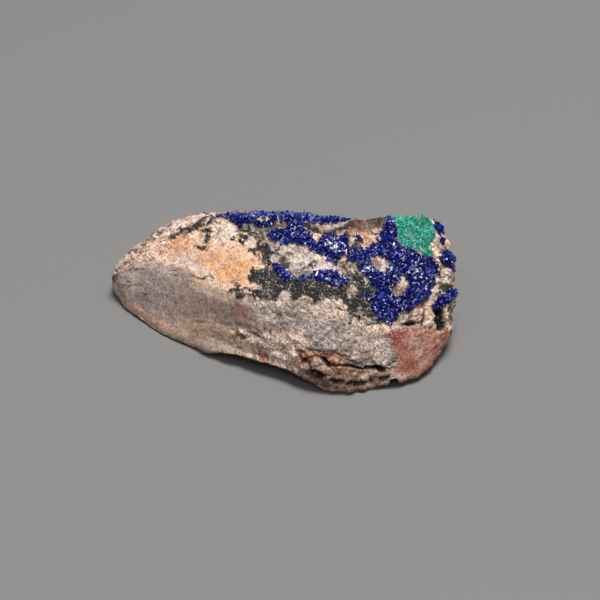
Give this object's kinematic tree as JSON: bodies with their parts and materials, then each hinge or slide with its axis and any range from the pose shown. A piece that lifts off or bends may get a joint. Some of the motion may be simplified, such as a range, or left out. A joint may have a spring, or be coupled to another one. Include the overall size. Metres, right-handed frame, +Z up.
{
  "type": "azurite specimen",
  "caption": "Palm-sized wedge of sandy host rock with crusts of blue azurite crystals, a green malachite tuft and black oxide patches, resting on a flat underside.",
  "frame": {"origin": "on the resting plane, under the middle of the specimen's bounding box", "axes": "+X along the specimen from its thin end to its blunt end, +Y from the broken front face to the back, +Z up"},
  "size_m": [0.071, 0.0388, 0.0238],
  "materials": {
    "host_rock": "rough broken sandstone, grey-mauve, tan and pinkish, with sparkling grains",
    "azurite": "deep blue, glassy crystal faces",
    "malachite": "green, silky radiating needles",
    "black_oxide": "dull black granular coating"
  },
  "bodies": {
    "root": {"matrix": "host_rock", "azurite_crust": "azurite", "azurite_front_cluster": "azurite", "azurite_streak": "azurite", "azurite_knob": "azurite", "azurite_blade": "azurite", "azurite_lower_cluster": "azurite", "malachite_tuft": "malachite", "oxide_crust_front": "black_oxide", "oxide_crust_left": "black_oxide", "oxide_patch_upper": "black_oxide", "oxide_patch_left": "black_oxide"}
  },
  "joints": []
}
